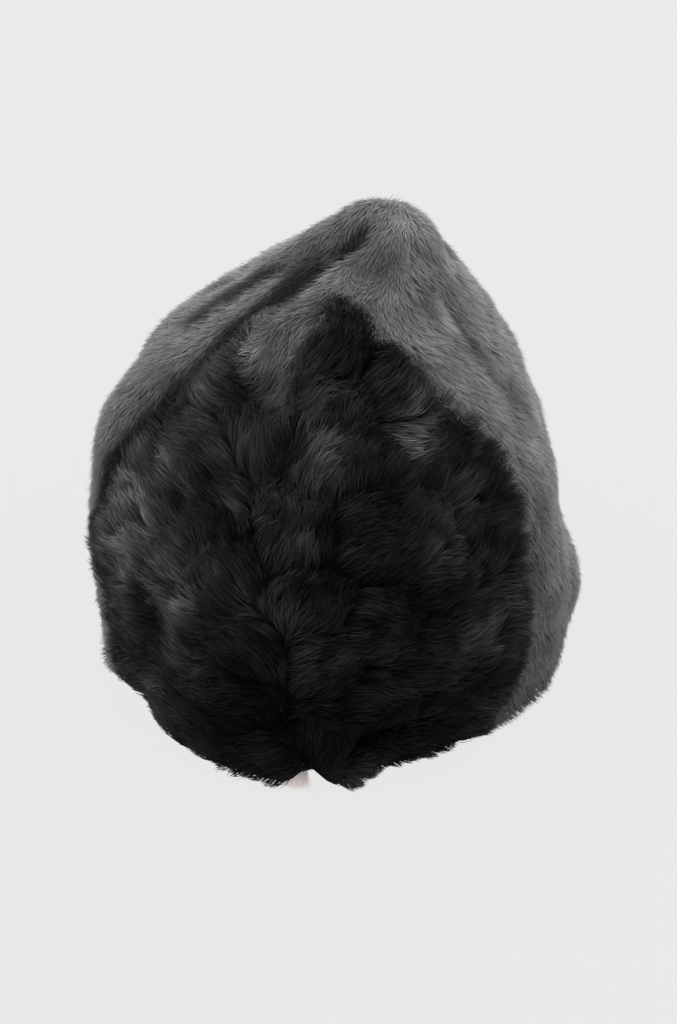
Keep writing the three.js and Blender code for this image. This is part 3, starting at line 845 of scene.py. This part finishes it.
def hair_tree():
    """A Geometry Nodes tree that grows hair on a combed sheet and draws it into tufts and locks."""
    tree = bpy.data.node_groups.new("Grow Hair", "GeometryNodeTree")
    for name, kind in TREE_INPUTS:
        tree.interface.new_socket(name, in_out="INPUT", socket_type=kind)
    tree.interface.new_socket("Geometry", in_out="OUTPUT", socket_type="NodeSocketGeometry")
    g = Graph(tree)
    given = g.node("NodeGroupInput")
    tufts = guide_points(g, given, given["Tuft Size"], 11, TUFT_STRAY)
    locks = guide_points(g, given, given["Lock Size"], 23, LOCK_STRAY)

    in_band = g.node(
        "FunctionNodeCompare",
        {"data_type": "INT", "operation": "EQUAL"},
        {"A": g.stored("band", "INT"), "B": given["Band"]},
    )
    roots = g.node(
        "GeometryNodeDistributePointsOnFaces",
        {"distribute_method": "RANDOM"},
        {
            "Mesh": given["Geometry"],
            "Selection": in_band["Result"],
            "Density": given["Density"],
            "Seed": given["Seed"],
        },
    )
    root = g.node("GeometryNodeInputPosition")["Position"]
    out = roots["Normal"]
    loose = g.chance((-1, -1, -1), (1, 1, 1), 31, "FLOAT_VECTOR") * given["Stray"]
    flow = g.vector("NORMALIZE", g.stored("flow", "FLOAT_VECTOR") + loose)
    reach = g.stored("reach") * g.chance(*HAIR_LENGTH, 32)
    run = flow * reach
    stand = out * (g.stored("stand") * g.chance(*HAIR_STAND, 33))
    side = g.vector("NORMALIZE", g.vector("CROSS_PRODUCT", flow, out))
    tip = root + run + stand
    to_tuft = nearest_guide(g, tufts, "FLOAT_VECTOR", g.stored("tip", "FLOAT_VECTOR")) - tip
    to_lock = nearest_guide(g, locks, "FLOAT_VECTOR", g.stored("tip", "FLOAT_VECTOR")) - tip
    lobe = g.stored("lobe")
    tuft_pull = given["Tuft Pull"] * g.stored("clump") * g.chance(*TUFT_DRAW, 34)
    tuft_pull = tuft_pull * (CROWN_TUFTS + (1 - CROWN_TUFTS) * lobe)
    lock_pull = given["Lock Pull"] * g.chance(*LOCK_DRAW, 40) * (CROWN_LOCKS + (1 - CROWN_LOCKS) * lobe)
    curl = side * (reach * g.chance(*HAIR_CURL, 35))
    pull = to_tuft * tuft_pull + to_lock * lock_pull + curl
    twist = given["Twist"] * g.chance(-1.0, 1.0, 36) * (CROWN_TWIST + (1 - CROWN_TWIST) * lobe)
    broad = given["Width"] * g.chance(*HAIR_HALF, 37)
    edge = (side * g.maths("COSINE", twist) + out * g.maths("SINE", twist)) * broad
    tuft_tone = nearest_guide(g, tufts, "FLOAT", g.chance(0.0, 1.0, 38))
    patch = (g.noise(root, PATCH_SIZE) - 0.5) * (PATCH_STRENGTH + PATCH_STRENGTH * lobe) + 0.5
    own_share, tuft_share, patch_share = TONE_SHARES
    tone = g.chance(0.0, 1.0, 39) * own_share + tuft_tone * tuft_share + patch * patch_share
    # The crown's tones are a painted sheen, and each tone is scaled by the sheet's painted light and shade.
    ends = [crown + (front - crown) * lobe for crown, front in zip(CROWN_SHEEN_TONES, LOBE_TONES)]
    tone = (tone * (ends[1] - ends[0]) + ends[0]) * g.stored("shade")
    tone = g.maths("FLOOR", g.maths("MINIMUM", g.maths("MAXIMUM", tone, 0.0), 0.999) * TONES)

    points = roots["Points"]
    for name, value in (("root", root), ("run", run), ("lift", stand), ("pull", pull), ("edge", edge)):
        points = g.store(points, name, value, "FLOAT_VECTOR")
    points = g.store(points, "facing", out, "FLOAT_VECTOR")
    points = g.store(points, "tone", (tone + 0.5) / TONES)
    blade = g.node("GeometryNodeObjectInfo", None, {"Object": given["Blade"]})["Geometry"]
    copies = g.node("GeometryNodeInstanceOnPoints", None, {"Points": points, "Instance": blade})
    hair = g.node("GeometryNodeRealizeInstances", None, {"Geometry": copies["Instances"]})["Geometry"]

    along = g.stored("along")
    across = g.stored("across")
    vectors = {name: g.stored(name, "FLOAT_VECTOR") for name in ("root", "run", "lift", "pull", "edge")}
    place = vectors["root"] + vectors["run"] * along + vectors["lift"] * (along * (2 - along))
    place = place + vectors["pull"] * along**PULL_POWER
    place = place + vectors["edge"] * (across * (1 - BLADE_TAPER * along * along))
    above = g.vector("MAXIMUM", place, (-1.0, -1.0, FLOOR_CLEAR))
    hair = g.node("GeometryNodeSetPosition", None, {"Geometry": hair, "Position": above})["Geometry"]

    own = g.node("GeometryNodeInputNormal")["Normal"]
    soft = own + (g.stored("facing", "FLOAT_VECTOR") - own) * g.stored("soft")
    hair = g.node(
        "GeometryNodeSetMeshNormal",
        {"mode": "FREE"},
        {"Mesh": hair, "Custom Normal": g.vector("NORMALIZE", soft)},
    )["Mesh"]
    chart = g.node(
        "ShaderNodeCombineXYZ", None, {"X": g.stored("tone") + across * (CHART_HALF / TONES), "Y": along}
    )["Vector"]
    hair = g.store(hair, "OFBake", chart, "FLOAT2", "CORNER")
    made = g.node("GeometryNodeSetMaterial", None, {"Geometry": hair, "Material": given["Material"]})
    g.node("NodeGroupOutput", None, {"Geometry": made["Geometry"]})
    return tree


def grown(tree, sheet, settings):
    """The hair that the tree grows on a sheet, as a plain mesh with only what its material reads."""
    made = scratch("growing", sheet)
    modifier = made.modifiers.new("hair", "NODES")
    modifier.node_group = tree
    names = {item.name: item.identifier for item in tree.interface.items_tree if item.in_out == "INPUT"}
    for name, value in settings.items():
        modifier[names[name]] = value
    mesh = evaluated_mesh(made)
    made.modifiers.remove(modifier)
    bpy.data.objects.remove(made)
    for name in [item.name for item in mesh.attributes]:
        if name in GROWING:
            mesh.attributes.remove(mesh.attributes[name])
    return mesh


def new_material(name):
    """An empty material and its graph."""
    material = bpy.data.materials.new(name)
    material.use_nodes = True
    material.node_tree.nodes.clear()
    return material, Graph(material.node_tree)


def end_in_shader(g, inputs):
    """Ends a material in one Principled shader."""
    shader = g.node("ShaderNodeBsdfPrincipled", None, inputs)
    g.node("ShaderNodeOutputMaterial", None, {"Surface": shader["BSDF"]})


def colour(value):
    """A colour with its alpha."""
    return (*value, 1.0)


def hair_material(name, dark, light, roughness, gloss, glow=0.0):
    """Hair that differs from strand to strand, with painted shade at its root, and a painted glow where
    glow is given.
    """
    material, g = new_material(name)
    tone = g.node("ShaderNodeAttribute", {"attribute_name": "tone"})["Fac"]
    along = g.node("ShaderNodeAttribute", {"attribute_name": "along"})["Fac"]
    lit = tone * tone * (SHADED_ROOT + (1 - SHADED_ROOT) * along)
    end_in_shader(
        g,
        {
            "Base Color": g.mix(lit, colour(dark), colour(light)),
            "Roughness": roughness + DULLER * (tone - 0.5),
            "Specular IOR Level": gloss,
            "Emission Color": colour(light),
            "Emission Strength": glow,
        },
    )
    return material


def underfur_material(dark, light):
    """The dense wool between the roots of the hair, blacker on the lobe; on the crown it is painted grey, a
    painted sheen.
    """
    material, g = new_material("underfur")
    place = g.node("ShaderNodeTexCoord")["Object"]
    lobe = g.node("ShaderNodeAttribute", {"attribute_name": "lobe"})["Fac"]
    mottle = g.noise(place, 3 * MM)
    bump = g.node(
        "ShaderNodeBump", None, {"Height": g.noise(place, 1.2 * MM), "Strength": 0.6, "Distance": MM}
    )
    end_in_shader(
        g,
        {
            "Base Color": g.mix((0.3 + 0.25 * mottle) * (1 - lobe), colour(dark), colour(light)),
            "Roughness": 0.85 + 0.1 * mottle,
            "Specular IOR Level": 0.1,
            "Normal": bump["Normal"],
        },
    )
    return material


def skin_material(pale, deep):
    """The suede flesh side of a tanned skin: short nap, faint stains and blotches."""
    material, g = new_material("suede_skin")
    place = g.node("ShaderNodeTexCoord")["Object"]
    stain = g.noise(place, 45 * MM, 4.0)
    nap = g.noise(place, 0.9 * MM, 4.0, 0.65)
    blotch = g.noise(place, 7 * MM, 3.0)
    tint = g.maths("SMOOTH_MIN", 0.55 * stain + 0.3 * blotch + 0.25 * nap, 1.0, 0.1)
    bump = g.node(
        "ShaderNodeBump",
        None,
        {"Height": nap + 1.5 * blotch, "Strength": 0.45, "Distance": 0.5 * MM},
    )
    end_in_shader(
        g,
        {
            "Base Color": g.mix(tint, colour(deep), colour(pale)),
            "Roughness": 0.8 + 0.15 * nap,
            "Specular IOR Level": 0.2,
            "Sheen Weight": 0.25,
            "Normal": bump["Normal"],
        },
    )
    return material


def floor_material(tint, glow):
    """A plain matt sheet that is lit evenly from below, so that the hat's shadow on it is faint."""
    material, g = new_material("pale_floor")
    place = g.node("ShaderNodeTexCoord")["Object"]
    grain = g.noise(place, 2 * MM)
    end_in_shader(
        g,
        {
            "Base Color": g.mix(grain, colour([0.985 * c for c in tint]), colour(tint)),
            "Roughness": 0.95,
            "Specular IOR Level": 0.0,
            "Emission Color": colour((1, 1, 1)),
            "Emission Strength": glow,
        },
    )
    return material


class FurHatSettings(bpy.types.PropertyGroup):
    """Sizes and colours of the hat."""

    under_depth: bpy.props.FloatProperty(
        name="Underfur Depth", description="Depth of the dense wool", default=13 * MM, unit="LENGTH"
    )
    relief: bpy.props.FloatProperty(
        name="Relief", description="Height of the soft lumps in the fur", default=2.0 * MM, unit="LENGTH"
    )
    hair_length: bpy.props.FloatProperty(
        name="Hair Length", description="Length of hair over the underfur", default=11.5 * MM, unit="LENGTH"
    )
    hair_stand: bpy.props.FloatProperty(
        name="Hair Stand", description="How far the tips stand off", default=5.5 * MM, unit="LENGTH"
    )
    hair_width: bpy.props.FloatProperty(
        name="Hair Width", description="Width of one blade of hair", default=0.4 * MM, unit="LENGTH"
    )
    fur_roughness: bpy.props.FloatProperty(
        name="Fur Roughness", description="How dull the hair is", default=0.50, subtype="FACTOR"
    )
    fur_gloss: bpy.props.FloatProperty(
        name="Fur Gloss", description="How much light the hair mirrors", default=0.09, subtype="FACTOR"
    )
    wisp_hairs: bpy.props.IntProperty(
        name="Wisp Hairs", description="Number of hairs in the pale wisp", default=320
    )
    lobe_hairs: bpy.props.IntProperty(
        name="Lobe Hairs", description="Number of hairs on each half of the front lobe", default=34000
    )
    crown_hairs: bpy.props.IntProperty(
        name="Crown Hairs", description="Number of hairs on each band of the crown", default=47000
    )
    tuft_size: bpy.props.FloatProperty(
        name="Tuft Size", description="Distance between small tufts", default=5.5 * MM, unit="LENGTH"
    )
    lock_size: bpy.props.FloatProperty(
        name="Lock Size", description="Distance between locks", default=22 * MM, unit="LENGTH"
    )
    fur_dark: bpy.props.FloatVectorProperty(
        name="Fur Dark", description="Darkest hair", default=(0.003, 0.003, 0.0032), subtype="COLOR"
    )
    # The lightest hair, which also paints the crown's sheen, the light on the tufts and the crown's grey
    # underfur.
    fur_light_and_sheen: bpy.props.FloatVectorProperty(
        name="Fur Light", description="Lightest hair", default=(0.230, 0.226, 0.232), subtype="COLOR"
    )
    skin_pale: bpy.props.FloatVectorProperty(
        name="Skin Pale", description="Raised nap of the skin", default=(0.56, 0.48, 0.40), subtype="COLOR"
    )
    skin_deep: bpy.props.FloatVectorProperty(
        name="Skin Deep", description="Hollows of the skin", default=(0.33, 0.26, 0.20), subtype="COLOR"
    )
    wisp_dark: bpy.props.FloatVectorProperty(
        name="Wisp Dark", description="Roots of the wisp", default=(0.20, 0.16, 0.15), subtype="COLOR"
    )
    wisp_light: bpy.props.FloatVectorProperty(
        name="Wisp Light", description="Tips of the wisp", default=(0.96, 0.89, 0.86), subtype="COLOR"
    )
    # A painted glow: emission that stands in for the light coming through the thin pale hair.
    wisp_painted_glow: bpy.props.FloatProperty(
        name="Wisp Glow", description="Light that comes through the thin pale hair", default=0.22
    )


class FurHatStage(bpy.types.PropertyGroup):
    """The camera, the lights and the floor."""

    azimuth: bpy.props.FloatProperty(
        name="Azimuth", description="Camera's place round the hat", default=math.radians(7), subtype="ANGLE"
    )
    elevation: bpy.props.FloatProperty(
        name="Elevation", description="Camera's place above", default=math.radians(36), subtype="ANGLE"
    )
    distance: bpy.props.FloatProperty(
        name="Distance", description="From the camera to its aim", default=1.05, unit="LENGTH"
    )
    aim: bpy.props.FloatVectorProperty(
        name="Aim", description="Point that the camera looks at", default=(0.004, 0.0, 0.073), subtype="XYZ"
    )
    lens: bpy.props.FloatProperty(name="Lens", description="Focal length in millimetres", default=73.0)
    floor_size: bpy.props.FloatProperty(
        name="Floor Size", description="Width of the floor", default=9.0, unit="LENGTH"
    )
    floor_tint: bpy.props.FloatVectorProperty(
        name="Floor Tint", description="Colour of the floor", default=(0.012, 0.012, 0.012), subtype="COLOR"
    )
    floor_glow: bpy.props.FloatProperty(
        name="Floor Glow", description="Even light of the floor itself", default=0.785
    )
    backdrop: bpy.props.FloatProperty(
        name="Backdrop", description="Brightness of what lies beyond the floor", default=0.79
    )
    bright_side: bpy.props.FloatProperty(
        name="Bright Side", description="Light from the white side of the studio, behind", default=3.2
    )
    dark_side: bpy.props.FloatProperty(
        name="Dark Side", description="Light from the dark side of the studio, in front", default=0.18
    )


# The lamps: where each stands, how wide it is and how strong.
LAMPS = (
    # name, azimuth and elevation in degrees, distance and width in metres, watts
    ("crown_light", 165, 48, 2.4, 1.8, 60.0),
    ("right_light", 105, 30, 2.4, 1.6, 25.0),
    ("left_light", -80, 25, 2.4, 1.6, 18.0),
)
# Where the bright side of the studio lies.
BRIGHT_WAY = (-0.16, 0.78, 0.60)
# Between these shares of facing it, the light grows from dark to bright.
BRIGHT_EDGE = (-0.35, 0.55)


def place_round(aim, azimuth, elevation, distance):
    """A point round an aim: azimuth 0 is in front, and 90 to the right."""
    flat = math.cos(elevation)
    way = Vector((math.sin(azimuth) * flat, -math.cos(azimuth) * flat, math.sin(elevation)))
    return aim + way * distance


def look_at(made, aim):
    """Turns a lamp or camera towards a point."""
    made.rotation_mode = "QUATERNION"
    made.rotation_quaternion = (aim - made.location).to_track_quat("-Z", "Y")


class FURHAT_OT_sew_skin(bpy.types.Operator):
    """Makes the two panels of skin, smooth inside and out"""

    bl_idname = "furhat.sew_skin"
    bl_label = "Sew Skin"

    def execute(self, context):
        hat = context.scene.fur_hat
        suede = skin_material(hat.skin_pale, hat.skin_deep)
        for side in SIDES:
            form = welded_skin(side)
            crease = form.edges.layers.float.new("crease_edge")
            for edge in form.edges:
                edge[crease] = float(len(edge.link_faces) == 2 and edge.calc_face_angle() > CREASE_ANGLE)
            mesh = bpy.data.meshes.new(f"{side}_skin")
            form.to_mesh(mesh)
            form.free()
            mesh = smoothed(mesh)
            mesh.shade_smooth()
            mesh.set_sharp_from_angle(angle=CREASE_ANGLE)
            mesh.materials.append(suede)
            piece(f"{side}_skin", mesh, [f"{side}_panel_hide"])
        return {"FINISHED"}


def fur_sheet(hat):
    """The sheet that the hair grows from, at the depth of the underfur and clear of the notch."""
    sheet = joined_sheet()
    raise_sheet(sheet, hat.under_depth, hat.relief)
    return sheet


def half_of(sheet, half):
    """One half of the joined sheet as a mesh of its own."""
    form = bmesh.new()
    form.from_mesh(sheet)
    other = [face for face in form.faces if face.material_index != half]
    bmesh.ops.delete(form, geom=other, context="FACES")
    for face in form.faces:
        face.material_index = 0
    mesh = bpy.data.meshes.new("half_sheet")
    form.to_mesh(mesh)
    form.free()
    return mesh


class FURHAT_OT_lay_underfur(bpy.types.Operator):
    """Lays the dense wool that the hair grows out of over the skin"""

    bl_idname = "furhat.lay_underfur"
    bl_label = "Lay Underfur"

    def execute(self, context):
        hat = context.scene.fur_hat
        wool = underfur_material(hat.fur_dark, hat.fur_light_and_sheen)
        sheet = fur_sheet(hat)
        add_attribute(sheet, "lobe", "FLOAT", lobe_share(coordinates_of(sheet))[0])
        for half, side in enumerate(SIDES):
            made = scratch(f"{side}_wool", half_of(sheet, half))
            wall = made.modifiers.new("wall", "SOLIDIFY")
            wall.thickness = LEAST_DEPTH - SKIN_CLEAR
            wall.offset = -1
            result = evaluated_mesh(made)
            drop(made)
            points = coordinates_of(result)
            points[:, 2] = np.maximum(points[:, 2], lowest(points))
            result.vertices.foreach_set("co", np.ravel(points).astype(np.float32))
            result.update()
            result.shade_smooth()
            result.materials.clear()
            result.materials.append(wool)
            piece(f"{side}_underfur", result, [f"{side}_panel_fur"])
        bpy.data.meshes.remove(sheet)
        return {"FINISHED"}


class FURHAT_OT_grow_fur(bpy.types.Operator):
    """Grows the hair over both halves, a piece for each band from the front seam to the back"""

    bl_idname = "furhat.grow_fur"
    bl_label = "Grow Fur"

    def execute(self, context):
        hat = context.scene.fur_hat
        black = hair_material("black_fur", hat.fur_dark, hat.fur_light_and_sheen, hat.fur_roughness, hat.fur_gloss)
        tree = hair_tree()
        blades = [scratch("blade", blade_mesh(stations)) for stations in (LONG_BLADE, SHORT_BLADE)]
        sheet = fur_sheet(hat)
        comb(sheet, hat.hair_length, hat.hair_stand)
        areas = split_in_bands(sheet)
        names = [f"{side}_fur_{band}" for side in SIDES for band in BANDS]
        for number, name in enumerate(names):
            front = number % len(BANDS) == 0
            settings = {
                "Blade": blades[0] if front else blades[1],
                "Band": number,
                "Density": (hat.lobe_hairs if front else hat.crown_hairs) / areas[number],
                "Width": hat.hair_width,
                "Tuft Size": hat.tuft_size,
                "Lock Size": hat.lock_size,
                "Tuft Pull": 0.22,
                "Lock Pull": 0.25,
                "Stray": 0.26,
                "Twist": TWIST,
                "Seed": 5,
                "Material": black,
            }
            piece(name, grown(tree, sheet, settings))
        for blade in blades:
            drop(blade)
        bpy.data.meshes.remove(sheet)
        return {"FINISHED"}


def wisp_sheet(length):
    """A small upright patch at the root of the wisp, combed forwards and down to the floor."""
    low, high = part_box("seam_wisp")
    mesh = bpy.data.meshes.new("wisp_root")
    wide = WISP_ROOT * (high.x - low.x) / 2
    middle = (low.x + high.x) / 2
    corners = [(-wide, low.z), (wide, low.z), (wide, high.z), (-wide, high.z)]
    mesh.from_pydata([(middle + x, high.y, z) for x, z in corners], [], [(0, 1, 2, 3)])
    flows = [
        (x / wide * WISP_SPREAD - WISP_ASIDE, -1, -WISP_FALL * (z - low.z) / length)
        for x, z in corners
    ]
    ends = len(corners)
    plain = (np.full(ends, length), *np.zeros((3, ends)), *np.ones((2, ends)))
    for name, values in zip(COMBED, (unit(np.array(flows)), *plain)):
        add_attribute(mesh, name, "FLOAT_VECTOR" if name == "flow" else "FLOAT", values)
    add_attribute(mesh, "band", "INT", np.zeros(1, np.int32), "FACE")
    return mesh, 4 * wide * (high.z - low.z) / 2


class FURHAT_OT_grow_wisp(bpy.types.Operator):
    """Grows the pale wisp at the foot of the front seam"""

    bl_idname = "furhat.grow_wisp"
    bl_label = "Grow Wisp"

    def execute(self, context):
        hat = context.scene.fur_hat
        pale = hair_material(
            "pale_wisp", hat.wisp_dark, hat.wisp_light, hat.fur_roughness, hat.fur_gloss, hat.wisp_painted_glow
        )
        low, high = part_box("seam_wisp")
        sheet, area = wisp_sheet(WISP_LENGTH * (high.y - low.y))
        blade = scratch("blade", blade_mesh(LONG_BLADE))
        settings = {
            "Blade": blade,
            "Band": 0,
            "Density": hat.wisp_hairs / area,
            "Width": hat.hair_width,
            "Tuft Size": 2.5 * MM,
            "Lock Size": 5 * MM,
            "Tuft Pull": 0.9,
            "Lock Pull": 0.5,
            "Stray": 0.2,
            "Twist": TWIST,
            "Seed": 9,
            "Material": pale,
        }
        piece("seam_wisp_hair", grown(hair_tree(), sheet, settings), ["seam_wisp"])
        drop(blade)
        bpy.data.meshes.remove(sheet)
        return {"FINISHED"}


class FURHAT_OT_set_stage(bpy.types.Operator):
    """Sets the camera, the lamps, the even light and the floor"""

    bl_idname = "furhat.set_stage"
    bl_label = "Set Stage"

    def execute(self, context):
        stage = context.scene.fur_hat_stage
        aim = Vector(stage.aim)
        camera = bpy.data.objects.new("camera", bpy.data.cameras.new("camera"))
        camera.data.lens = stage.lens
        camera.location = place_round(aim, stage.azimuth, stage.elevation, stage.distance)
        look_at(camera, aim)
        context.scene.collection.objects.link(camera)
        context.scene.camera = camera
        for name, azimuth, elevation, distance, width, watts in LAMPS:
            lamp = bpy.data.objects.new(name, bpy.data.lights.new(name, "AREA"))
            lamp.data.energy = watts
            lamp.data.shape = "DISK"
            lamp.data.size = width
            lamp.location = place_round(aim, math.radians(azimuth), math.radians(elevation), distance)
            look_at(lamp, aim)
            context.scene.collection.objects.link(lamp)
        mesh = bpy.data.meshes.new("floor")
        form = bmesh.new()
        bmesh.ops.create_grid(form, x_segments=8, y_segments=8, size=stage.floor_size / 2)
        form.to_mesh(mesh)
        form.free()
        mesh.materials.append(floor_material(stage.floor_tint, stage.floor_glow))
        floor = scratch("floor", mesh)
        floor.visible_glossy = False
        world = bpy.data.worlds.new("studio")
        world.use_nodes = True
        g = Graph(world.node_tree)
        world.node_tree.nodes.clear()
        way = g.node("ShaderNodeTexCoord")["Generated"]
        facing = g.node("ShaderNodeVectorMath", {"operation": "DOT_PRODUCT"}, {0: way, 1: BRIGHT_WAY})
        glow = g.node(
            "ShaderNodeMapRange",
            {"interpolation_type": "SMOOTHSTEP"},
            {
                "Value": facing["Value"],
                "From Min": BRIGHT_EDGE[0],
                "From Max": BRIGHT_EDGE[1],
                "To Min": stage.dark_side,
                "To Max": stage.bright_side,
            },
        )
        seen = g.node("ShaderNodeLightPath")["Is Camera Ray"]
        strength = glow["Result"] * (1 - seen) + stage.backdrop * seen
        sky = g.node("ShaderNodeBackground", None, {"Strength": strength})
        g.node("ShaderNodeOutputWorld", None, {"Surface": sky["Background"]})
        context.scene.world = world
        context.scene.view_settings.view_transform = "Standard"
        return {"FINISHED"}


class FURHAT_PT_panel(bpy.types.Panel):
    """Lists the hat's settings and the steps that build it"""

    bl_label = "Peaked Fur Hat"
    bl_idname = "FURHAT_PT_panel"
    bl_space_type = "VIEW_3D"
    bl_region_type = "UI"
    bl_category = "Fur Hat"

    def draw(self, context):
        for group in (context.scene.fur_hat, context.scene.fur_hat_stage):
            for setting in group.bl_rna.properties:
                if setting.identifier not in {"rna_type", "name"}:
                    self.layout.prop(group, setting.identifier)
        for step in STEPS:
            self.layout.operator(step.bl_idname)


STEPS = (
    FURHAT_OT_set_stage,
    FURHAT_OT_sew_skin,
    FURHAT_OT_lay_underfur,
    FURHAT_OT_grow_fur,
    FURHAT_OT_grow_wisp,
)
CLASSES = (FurHatSettings, FurHatStage, *STEPS, FURHAT_PT_panel)


def register():
    """Adds the hat's settings, operators and panel."""
    for kind in CLASSES:
        bpy.utils.register_class(kind)
    bpy.types.Scene.fur_hat = bpy.props.PointerProperty(type=FurHatSettings)
    bpy.types.Scene.fur_hat_stage = bpy.props.PointerProperty(type=FurHatStage)


def unregister():
    """Takes the hat's settings, operators and panel away."""
    del bpy.types.Scene.fur_hat_stage
    del bpy.types.Scene.fur_hat
    for kind in reversed(CLASSES):
        bpy.utils.unregister_class(kind)


def main():
    """Builds the hat and its stage."""
    register()
    bpy.ops.furhat.set_stage()
    bpy.ops.furhat.sew_skin()
    bpy.ops.furhat.lay_underfur()
    bpy.ops.furhat.grow_fur()
    bpy.ops.furhat.grow_wisp()


if __name__ == "__main__":
    main()
